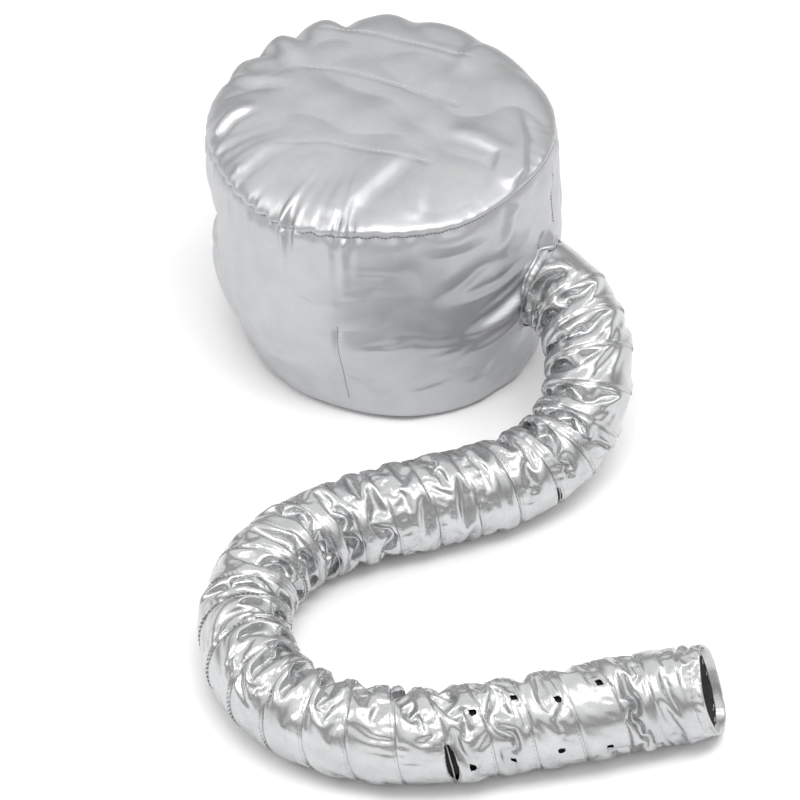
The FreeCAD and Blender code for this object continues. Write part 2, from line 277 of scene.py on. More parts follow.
class Line:
    """The hose's centreline with its frame, by station and by turn of the wire."""

    SAMPLES = 2400
    WINDOW = 81                # samples over which the bend is averaged

    def __init__(self, points):
        station = np.r_[0, np.cumsum(np.linalg.norm(np.diff(points, axis=0), axis=1))]
        self.s = np.linspace(0, station[-1], self.SAMPLES)
        self.c = sample(self.s, station, points)
        self.t = unit(np.gradient(self.c, self.s, axis=0))
        bend = np.linalg.norm(np.gradient(self.t, self.s, axis=0), axis=1)
        bend = np.pad(bend, self.WINDOW // 2, mode="edge")
        bend = np.convolve(bend, np.ones(self.WINDOW) / self.WINDOW, "valid")
        up = np.array([0, 0, 1.0])
        self.down = unit(self.t * (self.t @ up)[:, None] - up)
        self.side = np.cross(self.t, self.down)
        rate = (1 + CROWD * WIRE_R * bend) / PITCH
        self.w = np.r_[0, np.cumsum((rate[1:] + rate[:-1]) / 2 * np.diff(self.s))]
        self.length = self.s[-1]
        self.turns = self.w[-1]

    def by_turn(self, w, values):
        return sample(self.station(w), self.s, values)

    def station(self, w):
        return np.interp(w, self.w, self.s)

    def turn(self, s):
        return np.interp(s, self.s, self.w)


class Wound:
    """A tube's grid whose rows follow the wire, with each vertex's angle, turn and share of its turn."""

    def __init__(self, line, grid, per):
        self.line, self.grid, self.per = line, grid, per
        self.angle = grid.col / grid.columns * TAU
        row_turn = grid.row / per - 1
        raw = row_turn + grid.col / grid.columns
        self.turn = np.clip(raw, 0, line.turns)
        self.share = row_turn % 1
        self.at_start, self.at_end = raw <= 0, raw >= line.turns
        self.held = (grid.row % per == 0) | self.at_start | self.at_end
        self.along, self.girth = self.turn * STRIP, self.angle * WIRE_R
        self.centre = line.by_turn(self.turn, line.c)
        self.tangent = line.by_turn(self.turn, line.t)

    def end_ring(self, past):
        """The first vertex of each column among those past an end of the hose."""
        ids = np.nonzero(past)[0]
        ring = np.zeros(self.grid.columns, int)
        ring[self.grid.col[ids][::-1]] = ids[::-1]
        return ring

    def faces(self):
        """Quads, with the vertices past an end of the hose merged into that end's ring."""
        same = np.arange(len(self.angle))
        for past in (self.at_start, self.at_end):
            same[past] = self.end_ring(past)[self.grid.col[past]]
        return same[self.grid.quads()]


def wire_place(line, turn, angle, radius):
    """A point of the hose, with the wire's own unevenness."""
    tilt = 0.0015 * waves(11, 14, (2.2,), turn)
    sway = 0.0015 * waves(12, 14, (2.7,), turn)
    ends = np.clip(np.minimum(turn, line.turns - turn) * 1.5, 0, 1)
    squash = 0.018 * waves(13, 10, (3.0,), turn) * ends
    along = (tilt * np.cos(angle) + sway * np.sin(angle)) * ends
    down = np.cos(angle) * radius * (1 + squash)
    side = np.sin(angle) * radius * (1 - squash)
    return (line.by_turn(turn, line.c) + along[:, None] * line.by_turn(turn, line.t)
            + down[:, None] * line.by_turn(turn, line.down) + side[:, None] * line.by_turn(turn, line.side))


def hose_cloth(line):
    """The hose's cloth at rest on its wire, as (its tube, its points)."""
    per = 5
    grid = Grid((int(math.ceil(line.turns)) + 1) * per + 1, 34, per)
    x = None
    for level, count in enumerate(HOSE_STEPS):
        tube = Wound(line, grid, per)
        puff = np.sin(np.pi * tube.share)
        if x is None:
            bump = 0.0022 * puff * waves(1, 60, (0.026, 0.022), tube.along, tube.girth)
            x = wire_place(line, tube.turn, tube.angle, WIRE_R + bump)
        else:
            jitter = waves(20 + level, 60, (0.009, 0.009), tube.along, tube.girth)
            x += unit(x - tube.centre) * (0.00012 * jitter * puff)[:, None]
            x[tube.held] = wire_place(line, tube.turn, tube.angle, WIRE_R)[tube.held]
        slack = 1.005 + 0.02 * waves(8, 30, (0.12, 0.09), tube.along, tube.girth)
        round_step = TAU * WIRE_R * FULLNESS / grid.columns

        def rest(a, b):
            d_row = tube.grid.row[b] - tube.grid.row[a]
            d_col = tube.grid.col[b] - tube.grid.col[a]
            wrapped = np.abs(d_col) > grid.columns / 2
            d_row = d_row - np.where(wrapped, -np.sign(d_col) * per, 0)
            d_col = np.where(wrapped, d_col - np.sign(d_col) * grid.columns, d_col)
            over = d_row * STRIP / per + d_col * STRIP / grid.columns
            return np.hypot(over, d_col * round_step) * slack[a]

        # where the wire's turns are spread, the cloth between them is taut, and elsewhere it folds in
        before = tube.turn - tube.share
        ring_a, ring_b = (wire_place(line, np.clip(turn, 0, line.turns), tube.angle, WIRE_R)
                          for turn in (before, before + 1))
        taut = smooth(np.linalg.norm(ring_b - ring_a, axis=1) / STRIP, 0.86, 0.96)
        into = np.minimum(tube.share, 1 - CHANNEL - tube.share) / (1 - CHANNEL)
        from_end = np.minimum(tube.turn, line.turns - tube.turn)
        loose = smooth(into, 0.0, 0.28) * smooth(from_end, 0.2, 0.6)
        least = WIRE_R * (0.955 - 0.26 * loose * (1 - 0.85 * taut))
        least[tube.turn < 0.7] = WIRE_R * 0.99
        most = WIRE_R * (1.012 + 0.06 * loose)
        drift = 0.0025 + 0.0085 * loose
        cloth = Cloth(x, tube.held)
        cloth.weave(grid, rest, (0.45, 0.15, 0.05)[level])
        blow = (0.7e-5, 0.4e-5, 0.2e-5)[level]

        def force(points):
            push = unit(points - tube.centre) * blow
            push[:, 2] -= 0.2e-5
            return push

        def limit(points):
            arm = points - tube.centre
            ahead = (arm * tube.tangent).sum(1)
            arm -= tube.tangent * (ahead - np.clip(ahead, -drift, drift))[:, None]
            r = np.linalg.norm(arm, axis=1)
            arm *= (np.clip(r, least, most) / r)[:, None]
            points[:] = tube.centre + arm
            points[:, 2] = np.maximum(points[:, 2], FLOOR)

        x = cloth.relax(count, force, limit)
        if level + 1 < len(HOSE_STEPS):
            x = grid.refine(x)
            grid, per = grid.finer(), per * 2
    return tube, x


# ---- cloth details ----


def apart(angle, middle):
    """Angle from middle, within half a turn either way."""
    return (angle - middle + math.pi) % TAU - math.pi


def bell(x, width):
    """1 at 0, and near 0 beyond twice the width."""
    return np.exp(-((x / width) ** 2))


def crease(flat, path, height, width, steep, fade_in=0.3, fade_out=0.5):
    """Height of a fold along a path, at flat points: gentle on the path's left and steep on its right.

    steep is the steep side's share of the width, and the fades are shares of the path's length.
    """
    path = np.asarray(path, float)
    steps = np.diff(path, axis=0)
    spans = np.linalg.norm(steps, axis=1)
    total, walked = spans.sum(), 0.0
    best = np.full(len(flat), np.inf)
    signed, share = np.zeros(len(flat)), np.zeros(len(flat))
    for start, step, span in zip(path, steps, spans):
        arm = flat - start
        t = np.clip(arm @ step / span**2, 0, 1)
        off = arm - t[:, None] * step
        d = np.linalg.norm(off, axis=1)
        near = d < best
        best[near] = d[near]
        signed[near] = (d * np.sign(step[0] * arm[:, 1] - step[1] * arm[:, 0]))[near]
        share[near] = ((walked + t * span) / total)[near]
        walked += span
    rise = np.where(signed > 0, bell(signed, width), bell(signed, width * steep))
    rise = rise - 0.4 * bell(signed + width * steep * 1.9, width * steep)
    return height * rise * smooth(share, 0, fade_in) * (1 - smooth(share, 1 - fade_out, 1))


def punch(grid, x, per_row, per_col, holes, radius):
    """Makes round holes at (row, column) places. Points near a rim move onto it; returns which are inside.

    per_row and per_col are how far one row and one column go in the flat cloth, as 2-D steps.
    """
    per_row, per_col = np.asarray(per_row, float), np.asarray(per_col, float)
    here = np.arange(len(x))
    before, ok1 = grid.vertex(grid.row - 1, grid.col)
    after, ok2 = grid.vertex(grid.row + 1, grid.col)
    by_row = x[np.where(ok2, after, here)] - x[np.where(ok1, before, here)]
    by_row = by_row / np.maximum(ok1 * 1 + ok2, 1)[:, None]
    beside, ok3 = grid.vertex(grid.row, grid.col + 1)
    by_col = x[np.where(ok3, beside, here)] - x
    to_grid = np.linalg.inv(np.stack([per_row, per_col]))
    cell = (np.linalg.norm(per_row) + np.linalg.norm(per_col)) / 2
    inside = np.zeros(len(x), bool)
    moved = x.copy()
    for row, col in holes:
        dc = grid.col - col
        rounds = np.round(dc / grid.columns) if grid.shift is not None else np.zeros(len(dc))
        dc = dc - rounds * grid.columns
        dr = grid.row - row + rounds * (grid.shift or 0)
        flat = dr[:, None] * per_row + dc[:, None] * per_col
        d = np.linalg.norm(flat, axis=1) + 1e-9
        inside |= d < radius - 0.5 * cell
        rim = np.nonzero(np.abs(d - radius) <= 0.5 * cell)[0]
        move = (flat[rim] * ((radius - d[rim]) / d[rim])[:, None]) @ to_grid
        moved[rim] += move[:, :1] * by_row[rim] + move[:, 1:] * by_col[rim]
    x[:] = moved
    return inside


def tube_mesh(path, radii, sides, out=None, closed=False):
    """Points and faces of a tube of sides corners that follows path. out turns its first corner that way."""
    n = len(path)
    way = unit(np.roll(path, -1, 0) - np.roll(path, 1, 0) if closed else np.gradient(path, axis=0))
    out = np.tile((0.0, 0.0, 1.0), (n, 1)) if out is None else out
    out = unit(out - way * (out * way).sum(1)[:, None])
    side = np.cross(way, out)
    turn = np.arange(sides) / sides * TAU
    radii = np.broadcast_to(radii, (n,))
    ring = out[:, None] * np.cos(turn)[:, None] + side[:, None] * np.sin(turn)[:, None]
    points = (path[:, None] + ring * radii[:, None, None]).reshape(-1, 3)
    faces = [tuple(f) for f in ring_quads(n, sides, closed)]
    if not closed:
        faces += [tuple(range(sides - 1, -1, -1)), tuple((n - 1) * sides + c for c in range(sides))]
    return points, faces


# Stitches: length, gap and radius
QUILT_STITCH = (0.0028, 0.0020, 0.0003)
DART_STITCH = (0.0024, 0.0008, 0.0003)
SEAM_STITCH = (0.0024, 0.0010, 0.00034)
HEM_STITCH = MOUTH_STITCH = (0.0026, 0.0014, 0.0003)
INLET_STITCH = (0.0024, 0.0016, 0.0002)
HOSE_STITCH = (0.0022, 0.0018, 0.00022)
# One stitch: how far along its length, how high and how thick at each of its points, in lengths and radii
ARCH = np.array(((-0.5, -0.8, 0.6), (-0.32, 0.4, 1), (0, 0.8, 1), (0.32, 0.4, 1), (0.5, -0.8, 0.6)))
ARCH_SIDES = 5


def stitches(name, path, out, size, material):
    """A row of separate stitches along a line of points. Each is an arch whose ends go into the cloth."""
    length, gap, radius = size
    along, high, thick = ARCH.T
    station = np.r_[0, np.cumsum(np.linalg.norm(np.diff(path, axis=0), axis=1))]
    middle = (np.arange(int(station[-1] / (length + gap))) + 0.5) * (length + gap)
    points, faces = [], []
    for s in middle:
        up = unit(np.tile(sample(s, station, out), (len(ARCH), 1)))
        spine = sample(s + along * length, station, path) + up * (high * radius)[:, None]
        p, f = tube_mesh(spine, thick * radius, ARCH_SIDES, up)
        first = len(points) * len(ARCH) * ARCH_SIDES
        faces += [tuple(v + first for v in face) for face in f]
        points.append(p)
    return mesh_piece(name, np.concatenate(points), faces, material)


# ---- hood shape ----

SEAM_R, SEAM_Z = 0.1442, 0.2065
HEM_OUT_R, HEM_IN_R, HEM_LOW, HEM_HIGH = 0.1054, 0.1001, 0.003, 0.024
GATHERED = math.radians(-126)       # middle of the stretch where the crown seam is gathered
LINING_GAP = 0.0035
AIR_HOLE_R = 0.003
PUCKERS = (58, 84)                  # fewest and most to the round
UNDER_ROWS = 14                     # of the wall's cloth from its foot in to the hem
SMOOTHINGS = 26                     # of the wall's large shapes
HEM_ROW_R, HEM_ROW_Z = 0.1066, 0.0034       # where the hem's stitches run
CROWN_R = 0.165                     # of the flat crown

# Folds of the wall: (azimuth in degrees, height in mm) along each, its height and width in mm, how steep
# its steep side is, and how soon it fades in and out
WALL_FOLDS = (
    (((-22, 156), (-26, 134), (-31, 117), (-43, 111), (-57, 103), (-72, 90)), 8.0, 14, 0.36, 0.08, 0.45),
    (((-36, 104), (-47, 92), (-58, 82), (-70, 70)), 5.0, 10, 0.48, 0.15, 0.45),
    (((-38, 134), (-50, 122), (-62, 114)), 2.6, 7, 0.60, 0.2, 0.5),
    (((-54, 94), (-66, 84), (-80, 80)), 1.8, 6, 0.7, 0.2, 0.5),
    (((-78, 104), (-90, 94), (-102, 92)), 1.4, 6, 0.4),
    (((-122, 150), (-112, 140), (-98, 138)), 1.2, 7, 0.5),
    (((-128, 104), (-140, 94), (-152, 98)), 1.5, 8, 0.4),
    (((-118, 66), (-130, 54), (-146, 50)), 1.5, 8, 0.4),
    (((-66, 48), (-78, 38), (-92, 36)), 1.8, 7, 0.4),
    (((-44, 52), (-54, 40), (-66, 34)), 1.8, 7, 0.4),
    (((-36, 142), (-57, 138), (-67, 138), (-78, 136)), 2.4, 9, 0.45, 0.2, 0.6),
    (((-24, 64), (-40, 62), (-56, 56)), -4.5, 18, 0.6, 0.2, 0.3),
    (((-60, 88), (-75, 95), (-90, 107)), 1.8, 9, 0.5, 0.2, 0.5),
    (((-84, 172), (-95, 177), (-106, 175)), 1.2, 4, 0.6),
    (((-80, 150), (-95, 152), (-112, 147)), 0.9, 6, 0.6),
    (((-54, 166), (-62, 152), (-69, 139)), 1.3, 6, 0.5),
    (((-104, 60), (-98, 50), (-90, 33)), 1.6, 6, 0.5, 0.2, 0.4),
    (((-42, 208), (-46, 190), (-52, 170)), 3.0, 9, 0.5, 0.05, 0.5),
    (((-166, 118), (-172, 104), (-182, 99), (-196, 104)), 2.0, 9, 0.4, 0.3, 0.4),
    (((14, 150), (26, 134), (44, 128)), 1.0, 10, 0.4),
    (((12, 84), (26, 74), (44, 60)), 1.2, 10, 0.4),
    (((60, 160), (84, 150), (110, 158)), 1.8, 9, 0.5, 0.3, 0.4),
    (((120, 80), (140, 66), (165, 70)), 2.0, 10, 0.5, 0.3, 0.4),
)
# Where the wall swells below the crown seam: azimuth in degrees, spread, and how far down it rises and falls
SWELLS = ((-97, 0.20, 0.016, 0.060), (-50, 0.11, 0.022, 0.095))
# Folds of the crown: (x, y) in mm along each, and the rest as for the wall
CROWN_FOLDS = (
    (((-40, -132), (-33, -122), (12, -66), (30, -50)), 3.4, 16, 0.45, 0.1, 0.35),
    (((28, -136), (30, -100), (31, -52)), 2.0, 12, 0.5, 0.15, 0.4),
    (((50, -26), (76, -38), (101, -52), (92, -100)), 2.4, 12, 0.4, 0.2, 0.3),
    (((108, -96), (116, -72), (118, -30), (112, 10)), 2.6, 11, 0.35, 0.1, 0.4),
    (((-138, -22), (-124, -6), (-100, 6)), 3.4, 9, 0.4, 0.1, 0.4),
    (((-128, 52), (-104, 40), (-70, 38)), 2.4, 12, 0.5, 0.1, 0.5),
    (((-92, 100), (-78, 78), (-62, 52)), 2.6, 12, 0.5, 0.1, 0.5),
    (((-120, -70), (-96, -50), (-70, -38)), 1.8, 10, 0.5, 0.1, 0.5),
    (((90, 96), (72, 70), (66, 40)), 1.6, 12, 0.5, 0.1, 0.5),
)
# Notches in the puffed edge of the crown: azimuth in degrees, and depth in mm
NOTCHES = ((104, 7.0), (124, 8.0), (139, 5.0), (155, 3.5), (78, 2.5), (52, 2.0))
# Quilting rows across the crown, in metres
QUILT = (
    ((-0.050, 0.110), (-0.024, 0.106), (0.073, 0.072)),
    ((-0.066, 0.055), (-0.040, 0.053), (0.017, 0.029), (0.064, 0.005)),
    ((-0.084, -0.044), (-0.043, -0.044), (-0.005, -0.058), (0.041, -0.069)),
)
# Sewn lines up the wall: azimuths in degrees, and the heights they run between
DARTS, DART_LOW, DART_HIGH = (-105.5, 166.0, 76.0), 0.022, 0.118
SIDE_SEAM, SIDE_LOW, SIDE_HIGH = -17.0, 0.148, 0.2


def lean(points):
    """The hood leans a little to the left as it rises."""
    out = points.copy()
    out[:, 0] += 0.002 - 0.034 * np.maximum(points[:, 2], 0)
    return out


def seam(angle, gathered=1.0):
    """Radius and height of the crown seam: higher over the hose and behind, and gathered in front."""
    over_hose = bell(apart(angle, -0.55), 0.6)
    gather = bell(apart(angle, GATHERED), 0.75) * gathered
    r = SEAM_R + 0.0006 * ripples(31, 8, 3, 9, angle) + gather * 0.0007 * ripples(32, 14, 40, 70, angle)
    z = SEAM_Z + 0.0095 * over_hose + 0.004 * np.maximum(np.sin(angle), 0)
    z = z + 0.0008 * ripples(33, 8, 2, 6, angle)
    return r, z + gather * 0.0007 * ripples(34, 14, 40, 70, angle)


def puckers(angle, away):
    """Height of the short gathers on either side of the crown seam, and of the cloth swelling out of it."""
    gather = bell(apart(angle, GATHERED), 0.72) * (0.75 + 0.45 * ripples(38, 10, 9, 22, angle)) + 0.10
    pleat = np.clip(ripples(35, 12, *PUCKERS, angle), -0.9, 1.5)
    reach = np.maximum(0.008 * (1 + 0.5 * ripples(36, 10, 14, 34, angle)), 0.003)
    free = 1 - bell(away, 0.0028)
    return free * (gather * 0.0025 * pleat * np.exp(-away / reach) + 0.0012 * np.exp(-away / 0.02))


def wall_surface(angle, down):
    """The wall, with down 0 at the crown seam and 1 where it tucks under."""
    r_top, z_top = seam(angle, 1 - smooth(down, 0, 0.06))
    z = z_top * (1 - down)
    r = r_top + 0.0035 * np.sin(np.pi * np.clip(down * 1.15, 0, 1)) - 0.0155 * smooth(down, 0.42, 1.02)
    r = r - 0.0085 * np.clip((down - 0.93) / 0.07, 0, 1) ** 2
    # it draws in at the front left of its foot, and its left side dips and then bulges
    r = r - 0.0085 * bell(apart(angle, -2.25), 0.75) * smooth(down, 0.55, 1.0)
    left = bell(apart(angle, 3.0), 0.55)
    r = r - left * (0.0075 * bell(down - 0.40, 0.12) - 0.0075 * bell(down - 0.69, 0.13))
    r = r + 0.0013 * ripples(41, 10, 2, 7, angle) * np.sin(np.pi * down)
    return on_ring(r, angle, np.maximum(z, HOOD_FLOOR))


def crown_surface(angle, share):
    """The puffed crown, with share 0 at its middle and 1 at the seam, by length along it."""
    samples = 70
    r_rim, z_rim = seam(angle)
    steep = 3.4 + 6.5 * (0.5 + 0.5 * np.sin(angle)) ** 1.5
    u = 1 - (1 - np.linspace(0, 1, samples)) ** 3
    top = 0.2335 + 0.0065 * u * np.sin(angle)[:, None] - 0.002 * u * np.cos(angle)[:, None]
    plain, _ = seam(angle, 0.0)
    r = plain[:, None] * u + (r_rim - plain)[:, None] * u**14
    z = z_rim[:, None] + (top - z_rim[:, None]) * np.sqrt(np.clip(1 - u ** steep[:, None], 0, 1))
    along = np.cumsum(np.hypot(np.diff(r, axis=1, prepend=0), np.diff(z, axis=1, prepend=z[:, :1])), 1)
    along /= along[:, -1:]
    # each point's place between two samples of its own profile
    k = np.clip((along < share[:, None]).sum(1), 1, samples - 1)
    n = np.arange(len(share))
    t = np.clip((share - along[n, k - 1]) / (along[n, k] - along[n, k - 1]), 0, 1)
    r = r[n, k - 1] + (r[n, k] - r[n, k - 1]) * t
    z = z[n, k - 1] + (z[n, k] - z[n, k - 1]) * t
    pinch = sum(depth / 1000 * bell(apart(angle, math.radians(a)), 0.075) for a, depth in NOTCHES)
    swell = 0.004 * bell(apart(angle, math.radians(115)), 0.7) * (0.5 + 0.5 * ripples(37, 6, 9, 16, angle))
    edge = bell(share - 0.84, 0.11)
    return on_ring(r + (swell - pinch * 0.7) * edge, angle, z + (swell * 0.4 - pinch * 0.9) * edge)


def near_rows(x, y):
    """Distance from each point to the nearest quilting row."""
    best = np.full(len(x), 1.0)
    p = np.stack([x, y], 1)
    for row in QUILT:
        for a, b in zip(row, row[1:]):
            a, b = np.array(a), np.array(b)
            t = np.clip((p - a) @ (b - a) / ((b - a) @ (b - a)), 0, 1)
            best = np.minimum(best, np.linalg.norm(p - a - t[:, None] * (b - a), axis=1))
    return best


def disc(grid):
    """Azimuth and share of the radius for a square grid spread over a disc."""
    u = grid.row / (grid.rows - 1) * 2 - 1
    v = grid.col / (grid.columns - 1) * 2 - 1
    x, y = u * np.sqrt(1 - v * v / 2), v * np.sqrt(1 - u * u / 2)
    return np.arctan2(y, x), np.minimum(np.hypot(x, y), 1)


def drape(grid, x, held, form, outward, slack, stiff, steps, reach, blow, weight=0.0):
    """Brings cloth to rest near a form, no further in or out of it than reach."""

    def rest(a, b):
        return np.linalg.norm(form[b] - form[a], axis=1) * (slack[a] + slack[b]) / 2

    def force(points):
        push = outward * blow
        push[:, 2] -= weight
        return push

    def limit(points):
        points[:, 2] = np.maximum(points[:, 2], HOOD_FLOOR)
        over = ((points - form) * outward).sum(1)
        points -= outward * (over - np.clip(over, *reach))[:, None] * ~held[:, None]

    cloth = Cloth(x, held)
    cloth.weave(grid, rest, stiff)
    return cloth.relax(steps, force, limit)


def crown_cloth():
    """The crown's cloth, as (its grid, its points)."""
    grid = Grid(47, 47)
    x = None
    for level, count in enumerate(HOOD_STEPS):
        angle, share = disc(grid)
        form = crown_surface(angle, share)
        held = share > 1 - 1e-9
        flat_x, flat_y = share * np.cos(angle) * CROWN_R, share * np.sin(angle) * CROWN_R
        if x is None:
            x = form.copy()
            x[:, 2] -= 0.0022 * (1 - share) * (1 + waves(51, 40, (0.06, 0.05), flat_x, flat_y)) * ~held
        x[held] = form[held]
        gather = bell(apart(angle, GATHERED), 0.8)
        lumps = bell(apart(angle, 2.2), 0.7)
        slack = 1.002 + 0.024 * gather * smooth(share, 0.84, 0.98) + 0.03 * lumps * smooth(share, 0.6, 0.9)
        slack = slack + 0.006 * smooth(-np.sin(angle) * share, 0.1, 0.8)
        slack = slack + 0.004 * waves(52, 30, (0.09, 0.09), flat_x, flat_y)
        shell = normals(form, grid.quads())
        shell *= np.sign(shell[len(shell) // 2, 2])
        x = drape(grid, x, held, form, shell, slack, 0.3, count, (-0.009, 0.0014), 1.0e-5)
        if level + 1 < len(HOOD_STEPS):
            x = grid.refine(x)
            grid = grid.finer()
    rise = sum(crease(x[:, :2] * 1000, *fold) for fold in CROWN_FOLDS) / 1000
    rise = rise + 0.0003 * waves(53, 50, (0.045, 0.045), x[:, 0], x[:, 1])
    rise = rise + 0.0008 * np.abs(waves(54, 24, (0.07, 0.07), x[:, 0], x[:, 1])) - 0.0006
    away = (1 - share) * CROWN_R
    dip = 0.0005 * bell(near_rows(x[:, 0], x[:, 1]), 0.0026)
    rise = rise * smooth(away, 0.001, 0.012) + puckers(angle, away) - dip
    x += shell * (rise * (share < 1 - 1e-9))[:, None]
    return grid, x


def inlet(points):
    """Distance of points from the hose's first run produced back, the nearest points on it, how far along."""
    start = np.array(ROUTE[0])
    way = unit(np.array(ROUTE[1]) - start)
    ahead = (points - start) @ way
    foot = start + ahead[:, None] * way
    return np.linalg.norm(points - foot, axis=1), foot, ahead


def wall_cloth():
    """The wall's cloth, as (its grid, its points, how far each is from the middle of the hose's hole)."""
    grid = Grid(27, 104, 0)
    x = None
    for level, count in enumerate(HOOD_STEPS):
        angle = grid.col / grid.columns * TAU
        down = grid.row / (grid.rows - 1)
        form = wall_surface(angle, down)
        away, foot, ahead = inlet(form)
        away[ahead < -0.05] = 1.0
        hole = away < WIRE_R + 0.001
        edge = (grid.row == 0) | (grid.row == grid.rows - 1)
        held = edge | hole
        arc = angle * SEAM_R
        if x is None:
            bump = 0.0006 * waves(61, 40, (0.05, 0.04), arc, down * 0.2) * np.sin(np.pi * down)
            x = form + unit(form * (1, 1, 0)) * bump[:, None]
        # the hose's weight pulls the hole's rim out and down
        ring = foot + unit(form - foot) * (WIRE_R - 0.0005)
        pulled = np.where(away[:, None] > WIRE_R * 0.75, ring, form) + np.array([0.003, -0.003, -0.006])
        x[edge] = form[edge]
        x[hole & ~edge] = pulled[hole & ~edge]
        gather = bell(apart(angle, GATHERED), 0.9)
        slack = 0.9985 + 0.02 * gather * smooth(0.10 - down, 0, 0.08) + 0.018 * smooth(-away, -0.09, -0.04)
        slack = slack + 0.0015 * waves(62, 30, (0.10, 0.08), arc, down * 0.2)
        outward = unit(form * (1, 1, 0))
        x = drape(grid, x, held, form, outward, slack, 0.35, count, (-0.008, 0.0022), 0.7e-5, 0.2e-5)
        if level + 1 < len(HOOD_STEPS):
            x = grid.refine(x)
            grid = grid.finer()
    # the marks of the coarse grid are smoothed out of the large shapes
    bulge = ((x - form) * outward).sum(1).reshape(grid.rows, -1)
    plain = bulge
    for _ in range(SMOOTHINGS):
        plain = (np.roll(plain, 1, 1) + 2 * plain + np.roll(plain, -1, 1)) / 4
        tall = np.pad(plain, ((1, 1), (0, 0)), mode="edge")
        plain = (tall[:-2] + 2 * plain + tall[2:]) / 4
    from_seam = down * SEAM_Z
    even = smooth(from_seam, 0.004, 0.03) * smooth(away, WIRE_R + 0.003, WIRE_R + 0.02)
    x += outward * ((plain - bulge).ravel() * even)[:, None]
    # the folds that the photo shows, on the wall laid flat with its cut behind
    azimuth = (np.degrees(angle) + 240) % 360 - 240
    flat = np.stack([azimuth * math.radians(1) * SEAM_R * 1000, x[:, 2] * 1000], 1)
    rise = 0.0003 * waves(63, 50, (0.05, 0.035), arc, x[:, 2])
    rise = rise + 0.0011 * np.abs(waves(65, 24, (0.075, 0.05), arc, x[:, 2])) - 0.0008
    for path, *shape in WALL_FOLDS:
        path = [(a * math.radians(1) * SEAM_R * 1000, z) for a, z in path]
        rise = rise + crease(flat, path, *shape) / 1000
    for dart in DARTS:
        off = apart(angle, math.radians(dart)) * SEAM_R
        fade = 1 - smooth(x[:, 2], DART_HIGH - 0.006, DART_HIGH + 0.002)
        rise = rise - 0.0011 * bell(off, 0.0022) * fade
    off = apart(angle, math.radians(SIDE_SEAM)) * SEAM_R
    rise = rise - 0.0010 * bell(off, 0.0022) * smooth(x[:, 2], SIDE_LOW - 0.02, SIDE_LOW)
    rise = rise * smooth(from_seam, 0, 0.012) * smooth(1 - down, 0, 0.05) + puckers(angle, from_seam)
    for middle, spread, low, high in SWELLS:
        over = smooth(from_seam, 0, low) * (1 - smooth(from_seam, low * 1.2, high))
        rise = rise + 0.0042 * bell(apart(angle, math.radians(middle)), spread) * over
    free = smooth(away, WIRE_R + 0.001, WIRE_R + 0.008)
    x += outward * (rise * free * (grid.row > 0))[:, None]
    # the foot turns under, in pleats, as far as the hem
    under = UNDER_ROWS
    t = (np.arange(1, under + 1) / under)[:, None]
    foot = x[-grid.columns:]
    round_angle = np.arctan2(foot[:, 1], foot[:, 0])
    pleat = ripples(64, 14, 46, 78, round_angle)
    r = np.hypot(foot[:, 0], foot[:, 1])[None] * (1 - t) + (HEM_OUT_R + 0.0006) * t
    z = HOOD_FLOOR + t**2 * (0.0024 + 0.0016 * np.clip(pleat, -1, 1.5)[None] * (t < 0.99))
    below = np.stack([r * np.cos(round_angle), r * np.sin(round_angle), np.broadcast_to(z, r.shape)], -1)
    whole = Grid(grid.rows + under, grid.columns, 0)
    away = np.concatenate([away, np.ones(under * grid.columns)])
    return whole, np.concatenate([x, below.reshape(-1, 3)]), away


def hem_mesh():
    """The gathered casing over the elastic: a closed ring with an oblong section."""
    columns, sides = 560, 20
    angle = np.arange(columns) / columns * TAU
    pleat = ripples(71, 14, 52, 88, angle)
    fine = ripples(72, 14, 90, 140, angle)
    turn = np.arange(sides) / sides * TAU
    across = np.sign(np.cos(turn)) * np.abs(np.cos(turn)) ** 0.55
    up = np.sign(np.sin(turn)) * np.abs(np.sin(turn)) ** 0.4
    wave = (0.0009 * pleat + 0.0004 * fine)[:, None] * (1 - 0.55 * np.abs(up))
    r = (HEM_OUT_R + HEM_IN_R) / 2 + across * (HEM_OUT_R - HEM_IN_R) / 2 + wave
    z = (HEM_HIGH + HEM_LOW) / 2 + up * (HEM_HIGH - HEM_LOW) / 2 + 0.0005 * pleat[:, None] * (up > 0)
    points = on_ring(r, angle[:, None], z).reshape(-1, 3)
    return points, np.roll(ring_quads(columns, sides)[:, ::-1], 1, 1)


# ---- hose pieces ----

# Where the hose turns: unbent before the first point, wholly turned after the second
MIDDLE_TURN = ((-0.105, -0.368, 0.038), (-0.105, -0.406, 0.038))
CUFF_TURN = ((0.1900, -0.5057, 0.038), (0.2290, -0.4971, 0.038))
FIRST_SLIT, SECOND_SLIT = 0.236, 0.762      # stations where the sleeves are joined, and the seam gapes
LAST_VENT = 0.905
VENT_ANGLES = (-88, -163, 78)               # degrees round the hose from its underside, by row
VENT_TURNS = (0.24, 0.36, 0.3)              # how far on from a whole turn each row's vents lie
VENT_R = 0.0028
LIP = 0.0065                                # of silver cloth turned inside the mouth
LINING_IN = 0.0022
CLEAR_OF = 3                                # neighbours each way whose folds the lining is clear of
COIL_IN, COIL_R = 0.0017, 0.0006            # how far the coil lies inside the cloth, and its wire's radius
COIL_POINTS = 48                            # to the turn
# Each part's lining: from and to which station it is seen, and its name
LININGS = {"upper": (0.190, 0.275, "join_lining_front"), "lower": (0.725, 1.0, "join_lining_back"),
           "cuff": (0.0, 1.0, "cuff_lining_cloth")}


def row_at(line, station, per):
    """Grid row at the underside of the hose, at the last whole turn before the station."""
    return (int(line.turn(station)) + 1) * per


